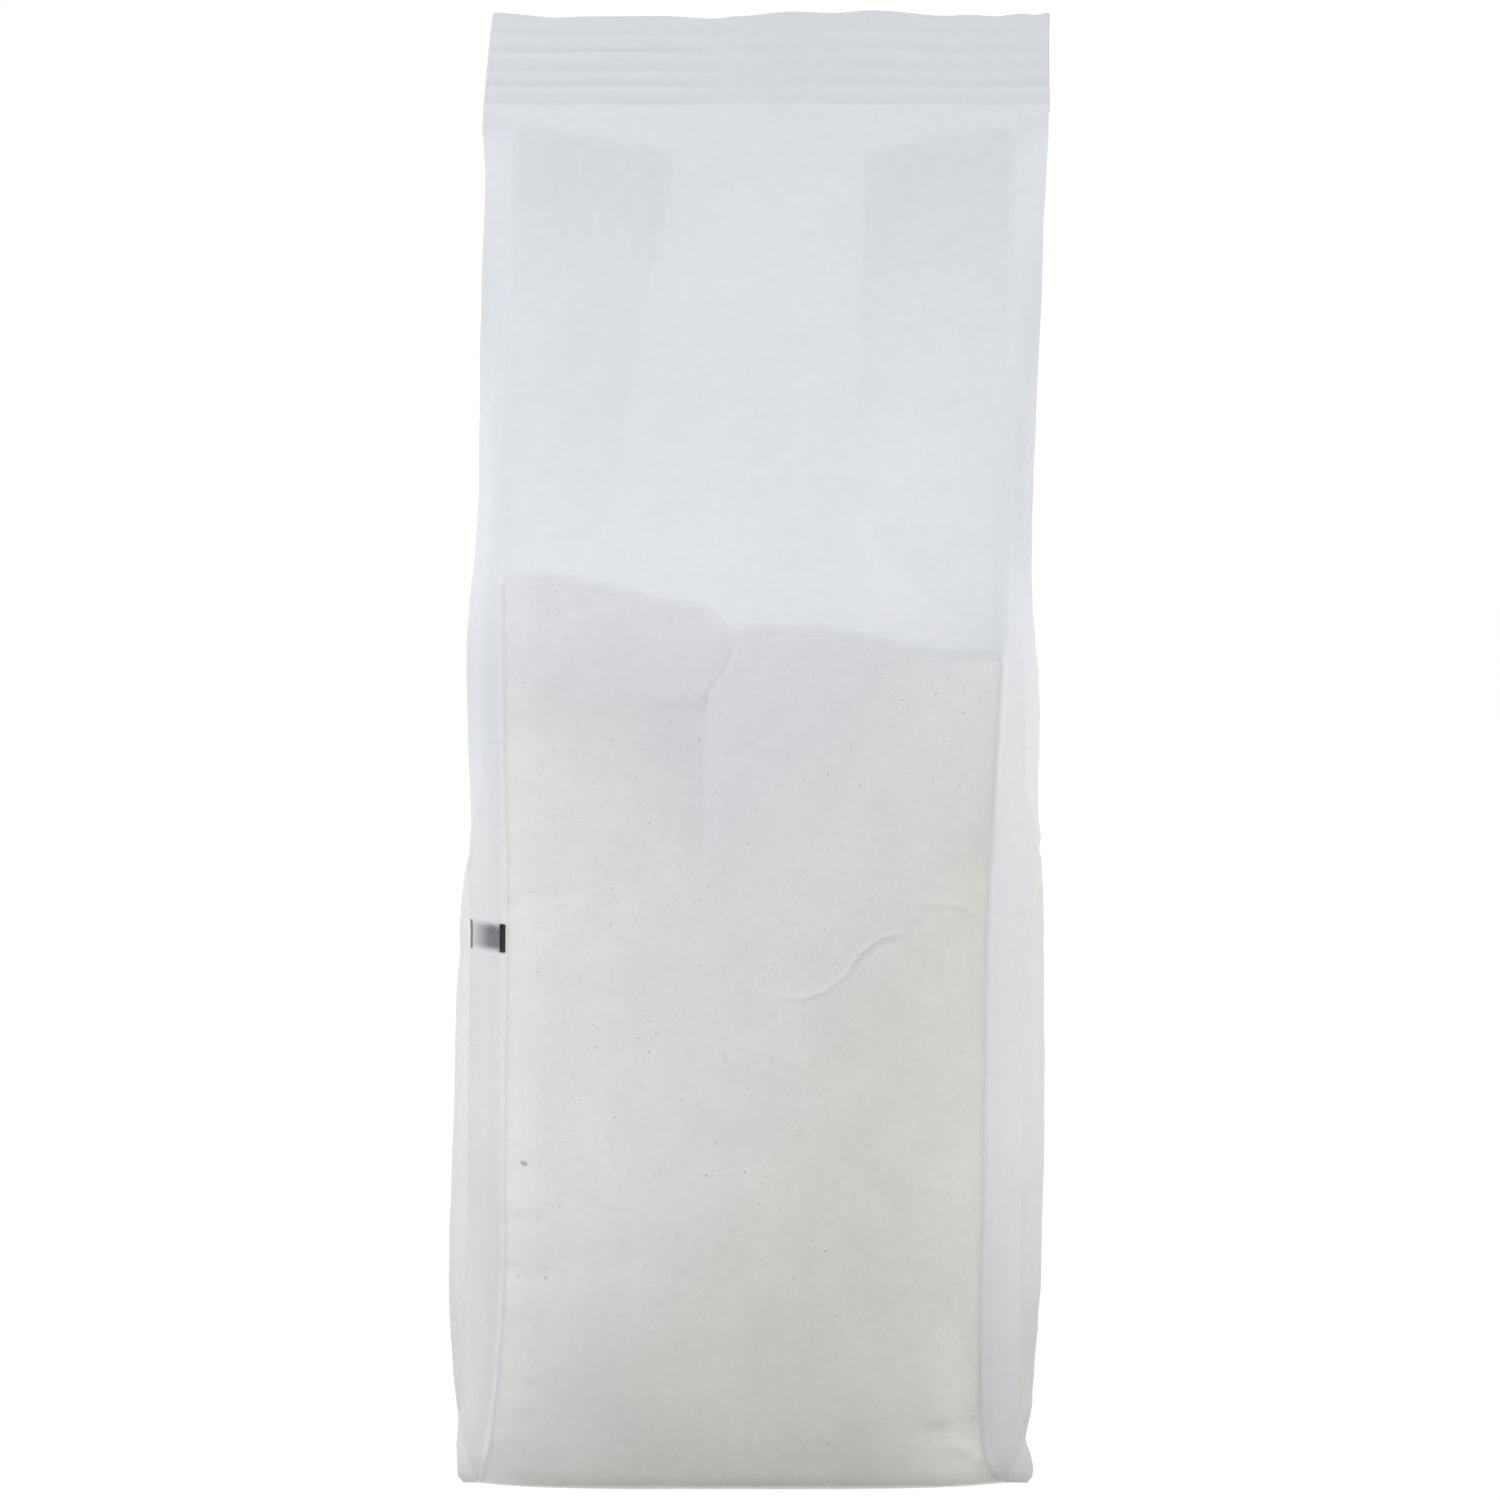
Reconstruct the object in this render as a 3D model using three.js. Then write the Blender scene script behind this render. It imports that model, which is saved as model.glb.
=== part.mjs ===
// A stand-up bag of flour in matt film: a block bottom, a front and a rear panel, two side gussets
// and a narrow welded fin along each of the four corners. The flour fills the lower part and swells
// the panels and gussets outwards; above it the gussets fold inwards and the bag closes to a
// crimped top seal. Millimetres, +Z up, standing on z = 0, with the front panel facing -Y.

import * as THREE from 'three';
import { LoftGeometry } from 'three/addons/geometries/LoftGeometry.js';

// Driving dimensions

const bagHeight = 240;
const sealHeight = 15;
const sealThickness = 1.4; // the pressed layers with the depth of the crimps
const sealBottom = bagHeight - sealHeight;

const panelWidth = 82.4; // across the film of the front panel, from seam to seam
const panelCrown = 10.9; // how far the flour swells the front and rear panels
const cornerDepth = 24.4; // from the middle of the bag to the front or rear seams
const swellPower = 2.2; // 2 swells as a parabola, more is flatter in the middle
const squareFoot = { power: 5, height: 30 }; // the block bottom is squarer, up to this height

const finWidth = 5.4;
const finThickness = 0.8;
const finWave = { size: 0.8, length: 17 }; // each fin waves to the front and the rear
const finCurl = { height: 168, spread: 22, drawnIn: 1.1, inwards: 2.4 }; // above the flour

// Each gusset swells outwards beside the flour and folds inwards above it.
const gusset = {
  left: { swell: 9.6, swellFades: 74, flat: 146, fold: 19, lateFold: 8, foldStart: 124, foldEnd: 168 },
  right: { swell: 10.2, swellFades: 80, flat: 150, fold: 24.5, lateFold: 0, foldStart: 126, foldEnd: 162 },
};

const crownFades = 85; // the panels lose their swell between these two heights
const crownFlat = 175;
const taperStart = 145; // the panels run straight from here to the top seal
const taperDepth = 21.9; // half the depth of the bag at that height
const taperBlend = 1.2; // softens the turn from the filled part to the taper

const panelFoot = { height: 13, inset: 2.4 }; // rounding of the bottom edge, front and rear
const gussetFoot = { height: 25, inset: 5.6 }; // and at the sides, where the bottom is folded in
const footFlare = { width: 2.6, height: 3 };
const finFootRounding = 1.3;
const slitCloses = { from: 213, to: 223 }; // where the gusset's fold runs into the top seal
const closedShare = 0.7; // of the gusset's depth that stays between the fins once it is closed
const crimp = { pitch: 2.8, depth: 0.35, stepsPerPitch: 4 };
const topEdgeWave = { size: 0.4, length: 13, start: 1 }; // start is an angle in radians
const sealCurl = { size: 0.9, length: 24, start: 0.6 }; // the seal waves to the front and the rear
const endRounding = 0.2;

const lean = { atBase: -1.3, rise: 4.3, power: 1.6, inSeal: 0.4 }; // it stands a little askew
const sealShrink = 0.9; // the ends of the top seal draw in towards its edge

const panelSegments = 14;
const gussetSegments = 8;
const levelSpacing = 7;
const footLevels = [0, 1.2, 3, 5.5, 9];
const closingSteps = 5;

const { smoothstep, lerp } = THREE.MathUtils;

// How far a bottom edge is drawn in at a height: 1 on the floor, 0 above the rounding.
function tuckAt(z, height) {
  const t = Math.max(0, 1 - z / height);
  return 1 - Math.sqrt(1 - t * t);
}

function sealShareAt(z) {
  return Math.max(0, (z - sealBottom) / sealHeight);
}

function crownAt(z) {
  const full = panelCrown * (1 - smoothstep(z, crownFades, crownFlat));
  return full - panelFoot.inset * tuckAt(z, panelFoot.height);
}

function footFlareAt(z) {
  return footFlare.width * Math.exp(-z / footFlare.height);
}

// How a panel's swell falls off from its middle at u = 0 to its seams at u = -1 and 1.
function swellShare(u, z) {
  const squareness = 1 - smoothstep(z, 0, squareFoot.height);
  return 1 - Math.abs(u) ** lerp(swellPower, squareFoot.power, squareness);
}

// Half the straight distance between the seams: a swollen panel draws its seams together, by the
// difference between the length of a parabola and its chord.
function halfWidthAt(z) {
  const crown = crownAt(z);
  const drawnIn = (4 * crown * crown) / (3 * panelWidth);
  return panelWidth / 2 - drawnIn + footFlareAt(z);
}

// Half the depth at the seams: even beside the flour, then a straight taper up to the seal.
function cornerDepthAt(z) {
  const slope = (taperDepth - sealThickness / 2) / (sealBottom - taperStart);
  const taper = sealThickness / 2 + slope * Math.max(0, sealBottom - z);
  const nearer = Math.min(cornerDepth, taper);
  const gap = Math.abs(cornerDepth - taper);
  const softened = taperBlend * Math.log(1 + Math.exp(-gap / taperBlend));
  return Math.max(sealThickness / 2, nearer - softened);
}

function swellAt(side, z) {
  const full = side.swell * (1 - smoothstep(z, side.swellFades, side.flat));
  return full - gussetFoot.inset * tuckAt(z, gussetFoot.height) - footFlareAt(z);
}

function foldAt(side, z) {
  const early = side.fold * smoothstep(z, side.foldStart, side.foldEnd);
  const late = side.lateFold * smoothstep(z, side.foldEnd, sealBottom);
  return early + late;
}

function leanAt(z) {
  return lean.atBase + lean.rise * (z / bagHeight) ** lean.power + lean.inSeal * sealShareAt(z) ** 2;
}

// The front and rear faces of the top seal run up and down together, as pressed by the jaws.
function crimpAt(z) {
  const along = (bagHeight - z) / crimp.pitch;
  return z > sealBottom ? crimp.depth * Math.cos(2 * Math.PI * along) : 0;
}

// Front panel from its left seam to its right seam, as [x, y] with y towards the front.
function panelPoints(z) {
  const halfWidth = halfWidthAt(z);
  const depth = cornerDepthAt(z);
  const points = [];
  for (let i = 0; i <= panelSegments; i++) {
    const u = -Math.cos((Math.PI * i) / panelSegments);
    points.push([halfWidth * u, -depth - crownAt(z) * swellShare(u, z)]);
  }
  return points;
}

// Side of the bag from the front fin's face to the rear fin's, as [distance from the middle, y].
function sidePoints(side, z) {
  const halfWidth = halfWidthAt(z);
  const depth = cornerDepthAt(z);
  const closing = smoothstep(z, slitCloses.from, slitCloses.to);
  const thickness = lerp(finThickness, sealThickness / 4, closing);
  const curl = Math.exp(-(((z - finCurl.height) / finCurl.spread) ** 2));
  const roundedFoot = finFootRounding * tuckAt(z, footFlare.height);
  const drawnIn = finCurl.drawnIn * curl + roundedFoot + sealShrink * sealShareAt(z);
  const tip = halfWidth + finWidth - drawnIn;
  const wave = finWave.size * Math.sin(z / finWave.length + side.swell) * (1 - closing);
  const inwards = finCurl.inwards * curl * (1 - closing);
  const gussetDepth = (depth - thickness) * lerp(1, closedShare, closing);
  const swell = swellAt(side, z);
  const fold = foldAt(side, z);
  const points = [[tip, -depth + inwards + wave]];
  points.push([tip, -depth + inwards + thickness + wave]);
  for (let i = 0; i <= gussetSegments; i++) {
    const s = (2 * i) / gussetSegments - 1;
    const bulged = swell * (1 - Math.abs(s) ** swellPower) - fold * (1 - Math.abs(s));
    const closed = tip + endRounding * (1 - s * s);
    points.push([lerp(halfWidth + bulged, closed, closing), gussetDepth * s]);
  }
  points.push([tip, depth - inwards - thickness + wave]);
  points.push([tip, depth - inwards + wave]);
  return points;
}

// One closed section at a height, counterclockwise as seen from above.
function sectionAt(z) {
  const front = panelPoints(z);
  const outline = [
    ...front,
    ...sidePoints(gusset.right, z),
    ...front.map(([x, y]) => [-x, -y]),
    ...sidePoints(gusset.left, z).map(([x, y]) => [-x, -y]),
  ];
  return outline.map(([x, y]) => {
    const edgeWave = topEdgeWave.size * Math.sin(x / topEdgeWave.length + topEdgeWave.start);
    const curl = sealCurl.size * Math.sin(x / sealCurl.length + sealCurl.start);
    const settledY = y + crimpAt(z) + curl * smoothstep(z, taperStart, bagHeight);
    return new THREE.Vector3(x + leanAt(z), settledY, z + edgeWave * sealShareAt(z) ** 2);
  });
}

// Heights of the sections: close together at the base, where the slit closes and in the crimps.
function sectionHeights() {
  const heights = [...footLevels];
  const evenStart = panelFoot.height;
  const steps = Math.round((slitCloses.from - evenStart) / levelSpacing);
  for (let i = 0; i <= steps; i++) {
    heights.push(lerp(evenStart, slitCloses.from, i / steps));
  }
  for (let i = 1; i <= closingSteps; i++) {
    heights.push(lerp(slitCloses.from, slitCloses.to, i / closingSteps));
  }
  const crimpSteps = Math.floor((sealHeight * crimp.stepsPerPitch) / crimp.pitch);
  for (let i = crimpSteps; i >= 0; i--) {
    heights.push(bagHeight - (i * crimp.pitch) / crimp.stepsPerPitch);
  }
  return heights;
}

const geometry = new LoftGeometry(sectionHeights().map(sectionAt), { capStart: true, capEnd: true });

// The origin is under the middle of the bag's outline.
geometry.computeBoundingBox();
const middle = geometry.boundingBox.getCenter(new THREE.Vector3());
geometry.translate(-middle.x, -middle.y, 0);

const film = new THREE.MeshStandardMaterial({ color: 0xd8dad8, roughness: 0.55, metalness: 0 });

const bag = new THREE.Mesh(geometry, film);
bag.name = 'bag';

const group = new THREE.Group();
group.add(bag);

export default group;
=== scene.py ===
# A bag of rice flour: frosted film with welded corner fins, side gussets and a crimped top seal,
# standing part full of pale speckled flour. Shapes are worked out in millimetres in the bag's own
# frame, +Z up and the front panel facing -Y, and put into metres when each mesh is finished.

import math
import random

import bmesh
import bpy
from mathutils import Matrix, Vector, noise


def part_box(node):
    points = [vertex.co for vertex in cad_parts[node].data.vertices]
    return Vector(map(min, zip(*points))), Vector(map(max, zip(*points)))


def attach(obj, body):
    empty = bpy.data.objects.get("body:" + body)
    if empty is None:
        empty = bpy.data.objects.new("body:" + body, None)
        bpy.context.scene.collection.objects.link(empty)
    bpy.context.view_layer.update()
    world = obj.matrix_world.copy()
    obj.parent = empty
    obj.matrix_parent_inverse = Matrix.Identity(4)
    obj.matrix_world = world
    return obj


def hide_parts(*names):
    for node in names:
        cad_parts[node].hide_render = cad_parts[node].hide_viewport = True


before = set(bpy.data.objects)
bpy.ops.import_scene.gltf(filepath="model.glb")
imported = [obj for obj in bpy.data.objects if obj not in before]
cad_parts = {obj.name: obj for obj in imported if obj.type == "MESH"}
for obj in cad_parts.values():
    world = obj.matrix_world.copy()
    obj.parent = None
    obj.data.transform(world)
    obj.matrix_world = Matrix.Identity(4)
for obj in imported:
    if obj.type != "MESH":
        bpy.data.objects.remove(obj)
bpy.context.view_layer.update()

metres = 0.001

# The bag's form, in millimetres

bag = {
    "height": 240.0,
    "sealHeight": 15.0,
    "sealThickness": 1.0,
    "panelWidth": 82.4,      # across the film, seam to seam
    "panelCrown": 10.9,      # how far the flour swells the panels
    "cornerDepth": 24.4,     # from the middle to the front or rear seams
    "cornerBlend": 1.2,
    "crownFades": 85.0,
    "crownFlat": 175.0,
    "crownPower": 2.2,       # 2 is a parabola, more is flatter in the middle
    "footPower": (5.0, 30.0),      # the block bottom is squarer, up to this height
    "taperStart": 145.0,
    "taperDepth": 21.9,
    "panelFoot": (13.0, 2.4),      # height and inset of the rounded bottom edge
    "gussetFoot": (25.0, 5.6),
    "footFlare": (2.6, 3.0),       # width and height of the flare at the floor
    "slitCloses": (216.0, 224.0),  # where the gussets' folds run into the top seal
    "closedShare": 0.7,      # of the gusset's depth that stays between the fins once it is closed
    "endRounding": 0.2,
    "leanAtBase": -1.3,
    "leanRise": 4.3,
    "leanPower": 1.6,
    "leanInSeal": 0.4,
    # Each ripple is its strength in millimetres, the length of its waves and a seed.
    "panelRipple": (0.4, 21.0, 3.1),
    "panelStretch": 0.8,     # below 1 the panels' ripple is longer upwards
    "panelFineRipple": (0.13, 8.0, 5.1),
    "panelRippleEnds": (205.0, 224.0),
    "seamPower": 8,          # the ripples end at the seams, and higher is nearer to them
    "rearApart": 6.6,        # added to the seeds on the rear panel
    "gussetRipple": (0.3, 15.0, 0.0),
    "gussetRippleEnds": (190.0, 215.0),
}

fins = {
    "width": 5.4,
    "thickness": 0.35,
    "curlHeight": 168.0,
    "curlSpread": 22.0,
    "drawnIn": 1.1,
    "inwards": 1.3,
    "wave": 0.8,
    "waveLength": 17.0,
    "roundedFoot": (1.2, 2.0),     # how far and how high the bottom corner is rounded
    "sealShrink": 0.9,
    "weldLines": ((0.07, 0.012), (0.43, 0.05)),   # where across the fin, and how proud
    "weldWidth": 0.05,
}

# The trims are how far the swell, the fins' edges and the seams stand out or in, as (height, mm).
gussets = {
    "left": {
        "swell": 9.6, "swellFades": 74.0, "flat": 146.0,
        "fold": 19.0, "lateFold": 8.0, "foldStart": 124.0, "foldEnd": 168.0,
        "swellTrim": [(0, -0.6), (10, -0.45), (19, -0.6), (30, -0.2), (38, -0.2), (47, -0.6), (66, -0.75),
                      (77, -1.0), (84, -0.9), (90, -0.15), (94, 0.12), (98, 0.32), (103, 0.0)],
        "finTrim": [(0, 0.75), (2, 0.9), (4, 1.12), (6, 1.32), (10, 1.26), (14, 0.05), (89, 0.0), (94, 0.3),
                    (98, 0.5), (103, 0.0), (107, -0.25), (120, -0.1), (136, 0.1), (142, -0.2), (149, -0.6),
                    (158, -0.63), (168, -0.2), (181, -0.28), (194, -0.6), (207, -0.8), (213, -0.75),
                    (217, -0.35), (221, 0.05), (226, -0.2), (240, 0.0)],
        "seamTrim": [(0, 0.3), (3, 1.6), (6.7, 1.5), (10, 1.4), (19, 0.65), (27, 0.0), (35, -0.2), (50, 0.0)],
    },
    "right": {
        "swell": 10.2, "swellFades": 80.0, "flat": 150.0,
        "fold": 24.5, "lateFold": 0.0, "foldStart": 126.0, "foldEnd": 162.0,
        "swellTrim": [(0, -1.2), (5, -0.6), (10, -0.45), (13, -0.8), (18, -0.95), (24, -0.6), (30, -0.15),
                      (47, 0.05), (60, -0.08), (68, 0.05), (76, -0.25), (84, -0.4), (93, 0.05), (97, 0.3),
                      (100, 0.55), (105, 0.2), (110, 0.0)],
        "finTrim": [(0, 1.75), (3, 1.95), (4.9, 1.6), (6.8, 1.0), (14, 0.0), (91, 0.1), (97, 0.9),
                    (100, 1.55), (104, 2.0), (108, 1.35), (116, 0.95), (123, 0.7), (130, 0.2), (136, -0.55),
                    (141, -1.0), (147, -1.1), (155, -0.8), (162, -0.4), (171, -0.05), (190, -0.15),
                    (204, -0.3), (213, 0.0), (220, 0.25), (236, 0.3)],
        "seamTrim": [(0, 0.0), (5, -0.3), (30, -0.3), (50, 0.0)],
    },
}

seal = {
    # The jaws' lines as (height, depth on the left, depth on the right).
    "crimps": [(236.7, 0.07, 0.06), (233.7, 0.12, 0.05), (230.6, 0.08, 0.04), (228.0, 0.11, 0.08),
               (224.5, 0.1, 0.07)],
    "crimpWidth": 0.55,
    "lineRipple": (0.5, 30.0, 2.9),    # how the lines wander
    "depthRipple": (0.6, 14.0, 6.6),   # and how uneven their depth is
    "depthSpread": 3,        # sets the lines' unevenness apart from one another
    "middleShare": 0.3,      # the crimps are fainter where the gussets' layers end
    "layersEnd": (8.0, 14.0),
    "curl": 0.9,
    "curlLength": 24.0,
    "curlStart": 0.6,        # an angle in radians
    # The cut top edge waves up and down, as (x, mm).
    "topEdge": [(-42.4, 0.0), (-31.6, -0.8), (-27.5, -0.6), (-14.6, -0.47), (-5.8, -0.88), (-2.3, -0.46),
                (7.1, 0.35), (13.9, 0.15), (20.3, 0.6), (32.9, -0.33), (36.0, -0.13), (40.4, -0.4),
                (45.2, 0.0), (47.2, -0.2), (49.1, 0.15)],
}

sealBottom = bag["height"] - bag["sealHeight"]


# From 0 at low to 1 at high, also where low is the larger of the two.
def smoothstep(x, low, high):
    t = min(1.0, max(0.0, (x - low) / (high - low)))
    return t * t * (3 - 2 * t)


def lerp(a, b, t):
    return a + (b - a) * t


def bump(x, middle, spread):
    return math.exp(-(((x - middle) / spread) ** 2))


# Rises from 0 over the first pair and falls back to 0 over the second.
def band(x, rises, falls, strength=1.0):
    return strength * smoothstep(x, *rises) * (1 - smoothstep(x, *falls))


# Gentle unevenness of a kind, which is its strength, the length of its waves and a seed.
def ripple(kind, x, z, apart=0.0):
    strength, length, seed = kind
    return strength * noise.noise(Vector((x / length, z / length, seed + apart)))


# A smooth run through a few chosen points.
def along(points, x):
    x = min(max(x, points[0][0]), points[-1][0])
    for (x0, z0), (x1, z1) in zip(points, points[1:]):
        if x <= x1:
            return lerp(z0, z1, smoothstep(x, x0, x1))
    return points[-1][1]


# How far a bottom edge is drawn in at a height: 1 on the floor, 0 above the rounding.
def tuckAt(z, height):
    t = max(0.0, 1 - z / height)
    return 1 - math.sqrt(max(0.0, 1 - t * t))


def sealShareAt(z):
    return max(0.0, (z - sealBottom) / bag["sealHeight"])


def crownAt(z):
    full = bag["panelCrown"] * (1 - smoothstep(z, bag["crownFades"], bag["crownFlat"]))
    height, inset = bag["panelFoot"]
    return full - inset * tuckAt(z, height)


def crownPowerAt(z):
    squarer, height = bag["footPower"]
    return lerp(squarer, bag["crownPower"], smoothstep(z, 0, height))


def footFlareAt(z):
    width, height = bag["footFlare"]
    return width * math.exp(-z / height)


# A swollen panel draws its seams together.
def halfWidthAt(z, side=None):
    crown = crownAt(z)
    trim = along(side["seamTrim"], z) if side else 0.0
    return bag["panelWidth"] / 2 - 4 * crown * crown / (3 * bag["panelWidth"]) + footFlareAt(z) + trim


def cornerDepthAt(z):
    half = bag["sealThickness"] / 2
    slope = (bag["taperDepth"] - half) / (sealBottom - bag["taperStart"])
    taper = half + slope * max(0.0, sealBottom - z)
    blend = bag["cornerBlend"]
    nearer = min(bag["cornerDepth"], taper)
    gap = abs(bag["cornerDepth"] - taper)
    return max(half, nearer - blend * math.log(1 + math.exp(-gap / blend)))


def swellAt(side, z):
    full = side["swell"] * (1 - smoothstep(z, side["swellFades"], side["flat"]))
    height, inset = bag["gussetFoot"]
    return full - inset * tuckAt(z, height) - footFlareAt(z) + along(side["swellTrim"], z)


def foldAt(side, z):
    early = side["fold"] * smoothstep(z, side["foldStart"], side["foldEnd"])
    return early + side["lateFold"] * smoothstep(z, side["foldEnd"], sealBottom)


def leanAt(z):
    rise = bag["leanRise"] * (z / bag["height"]) ** bag["leanPower"]
    return bag["leanAtBase"] + rise + bag["leanInSeal"] * sealShareAt(z) ** 2


# The jaws press lines into the whole seal, deeper where the gussets' layers lie in it.
def crimpAt(x, z):
    if z < film["fineFrom"]:
        return 0.0
    layers = lerp(seal["middleShare"], 1, smoothstep(abs(x), *seal["layersEnd"]))
    toRight = smoothstep(x, -seal["layersEnd"][0], seal["layersEnd"][0])
    pressed = 0.0
    for height, left, right in seal["crimps"]:
        line = height + ripple(seal["lineRipple"], x, height)
        uneven = 1 + ripple(seal["depthRipple"], x, height * seal["depthSpread"])
        pressed += lerp(left, right, toRight) * uneven * bump(z, line, seal["crimpWidth"])
    return pressed * layers


# Lean, curl and the wavy top edge, which every layer shares.
def settled(x, y, z):
    curl = seal["curl"] * math.sin(x / seal["curlLength"] + seal["curlStart"])
    curl *= smoothstep(z, bag["taperStart"], bag["height"])
    leaning = x + leanAt(z)
    raised = z + along(seal["topEdge"], leaning) * sealShareAt(z) ** 2
    return Vector((leaning + shiftX, y + crimpAt(x, z) + curl, raised))


# The panels' small relief, positive towards the outside.
def panelRelief(x, z, onFront):
    apart = 0.0 if onFront else bag["rearApart"]
    soft = ripple(bag["panelRipple"], x, z * bag["panelStretch"], apart)
    soft += ripple(bag["panelFineRipple"], x, z, apart)
    return soft * (1 - smoothstep(z, *bag["panelRippleEnds"]))


# A panel: u runs from -1 at its left seam to 1 at its right, as seen by a viewer who faces it, and
# inset is the way inwards.
def panelPoint(u, z, inset=0.0, onFront=True):
    side = gussets["left" if (u < 0) == onFront else "right"]
    x = (halfWidthAt(z, side) - inset) * u
    out = cornerDepthAt(z) - inset + crownAt(z) * (1 - abs(u) ** crownPowerAt(z))
    out += panelRelief(x, z, onFront) * (1 - u ** bag["seamPower"])
    return (x, -out) if onFront else (-x, out)


# A gusset: s runs from -1 at its first seam to 1 at its second.
def gussetPoint(side, s, z, inset=0.0):
    swell = swellAt(side, z) - along(side["seamTrim"], z)
    fold = foldAt(side, z)
    depth = cornerDepthAt(z) - inset
    bulged = swell * (1 - abs(s) ** bag["crownPower"]) - fold * (1 - abs(s))
    soft = ripple(bag["gussetRipple"], s * depth, z, side["swell"]) * (1 - s ** 4)
    soft *= 1 - smoothstep(z, *bag["gussetRippleEnds"])
    return halfWidthAt(z, side) - inset + bulged + soft, depth * s


# A fin: t runs from 0 at the seam to 1 at its tip. Far is the fin at the gusset's second seam, and
# inner is the face towards the gusset.
def finPoint(side, t, z, far, inner):
    closing = smoothstep(z, *bag["slitCloses"])
    thickness = lerp(fins["thickness"], bag["sealThickness"] / 4, closing)
    curl = bump(z, fins["curlHeight"], fins["curlSpread"])
    rounding, roundingHeight = fins["roundedFoot"]
    halfWidth = halfWidthAt(z, side)
    straight = halfWidthAt(z) - footFlareAt(z)
    tip = straight + fins["width"] - fins["drawnIn"] * curl + along(side["finTrim"], z)
    tip -= fins["sealShrink"] * sealShareAt(z) + rounding * tuckAt(z, roundingHeight)
    wave = fins["wave"] * math.sin(z / fins["waveLength"] + side["swell"]) * (1 - closing)
    inwards = fins["inwards"] * curl * (1 - closing)
    weld = sum(proud * bump(t, place, fins["weldWidth"]) for place, proud in fins["weldLines"])
    out = cornerDepthAt(z) - inwards * t * t + weld * (1 - closing)
    x = lerp(halfWidth, tip, t)
    if inner:
        out -= thickness + 2 * weld * (1 - closing)
        x = lerp(x, tip, closing)
    return x, (out if far else -out) + wave * t * t, tip


film = {
    "panelColumns": 96,
    "rearColumns": 60,
    "gussetColumns": 32,
    "finColumns": 9,
    "levelSpacing": 1.0,
    "fineFrom": 222.0,       # closer levels from here up, for the crimps
    "fineLevels": 60,
    "seamCrowding": 0.7,     # 0 spaces the panels' columns evenly, 1 crowds them towards the seams
    "outlineStep": 3,        # how far apart the heights are that the outline is measured at
}

# The parts of a ring are numbered: 0 front panel, 1 right gusset, 2 rear panel, 3 left gusset,
# 4 to 7 the right side's fin faces and 8 to 11 the left side's.
front, rightGusset, rear, leftGusset, rightFins, leftFins = 0, 1, 2, 3, 4, 8


# Whether a place is on the bag's right side. The rear panel counts as the left side.
def isRight(part, t):
    if part == front:
        return t > 0
    return part == rightGusset or rightFins <= part < leftFins


# A place on the film, from its part of the ring, its place across that part and its height.
def filmPoint(part, t, z):
    if part in (front, rear):
        return panelPoint(t, z, onFront=part == front)
    onRight = isRight(part, t)
    side = gussets["right" if onRight else "left"]
    if part in (rightGusset, leftGusset):
        closing = smoothstep(z, *bag["slitCloses"])
        x, y = gussetPoint(side, t, z)
        depth = cornerDepthAt(z)
        y *= (depth - fins["thickness"]) / depth * lerp(1, bag["closedShare"], closing)
        tip = finPoint(side, 1, z, False, True)[2]
        x = lerp(x, tip + bag["endRounding"] * (1 - t * t), closing)
    else:
        face = part - (rightFins if onRight else leftFins)
        x, y = finPoint(side, t, z, face > 1, face in (1, 2))[:2]
    return (x, y) if onRight else (-x, -y)


# Even steps from -1 to 1.
def evenSteps(count):
    return [2 * i / count - 1 for i in range(count + 1)]


def panelSteps(count):
    steps = []
    for i in range(count + 1):
        even, crowded = 2 * i / count - 1, -math.cos(math.pi * i / count)
        steps.append(lerp(even, crowded, film["seamCrowding"]))
    return steps


def filmColumns():
    across = [(i + 1) / film["finColumns"] for i in range(film["finColumns"])]
    columns = []
    for panel, count, fin, gusset in ((front, film["panelColumns"], rightFins, rightGusset),
                                      (rear, film["rearColumns"], leftFins, leftGusset)):
        columns += [(panel, u) for u in panelSteps(count)]
        columns += [(fin, t) for t in across] + [(fin + 1, t) for t in reversed(across)]
        columns += [(gusset, s) for s in evenSteps(film["gussetColumns"])]
        columns += [(fin + 2, t) for t in across] + [(fin + 3, t) for t in reversed(across)]
    return columns


def filmLevels():
    steps = round(film["fineFrom"] / film["levelSpacing"])
    levels = [film["fineFrom"] * i / steps for i in range(steps)]
    count = film["fineLevels"]
    return levels + [lerp(film["fineFrom"], bag["height"], i / count) for i in range(count + 1)]


# The middle of the film's outline over all heights is put on the middle of the solid bag.
shiftX = 0.0
ringColumns = filmColumns()
heights = range(0, int(bag["height"]) + 1, film["outlineStep"])
outline = [filmPoint(part, t, z)[0] + leanAt(z) for z in heights for part, t in ringColumns]
boxLow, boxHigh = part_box("bag")
shiftX = (boxLow.x + boxHigh.x) / 2 / metres - (min(outline) + max(outline)) / 2
print("form: middle moved by", round(shiftX, 3), "mm")

# Tables of places across a panel run from minus this at its left seam to plus this at its right.
tableHalf = 41.0

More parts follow.
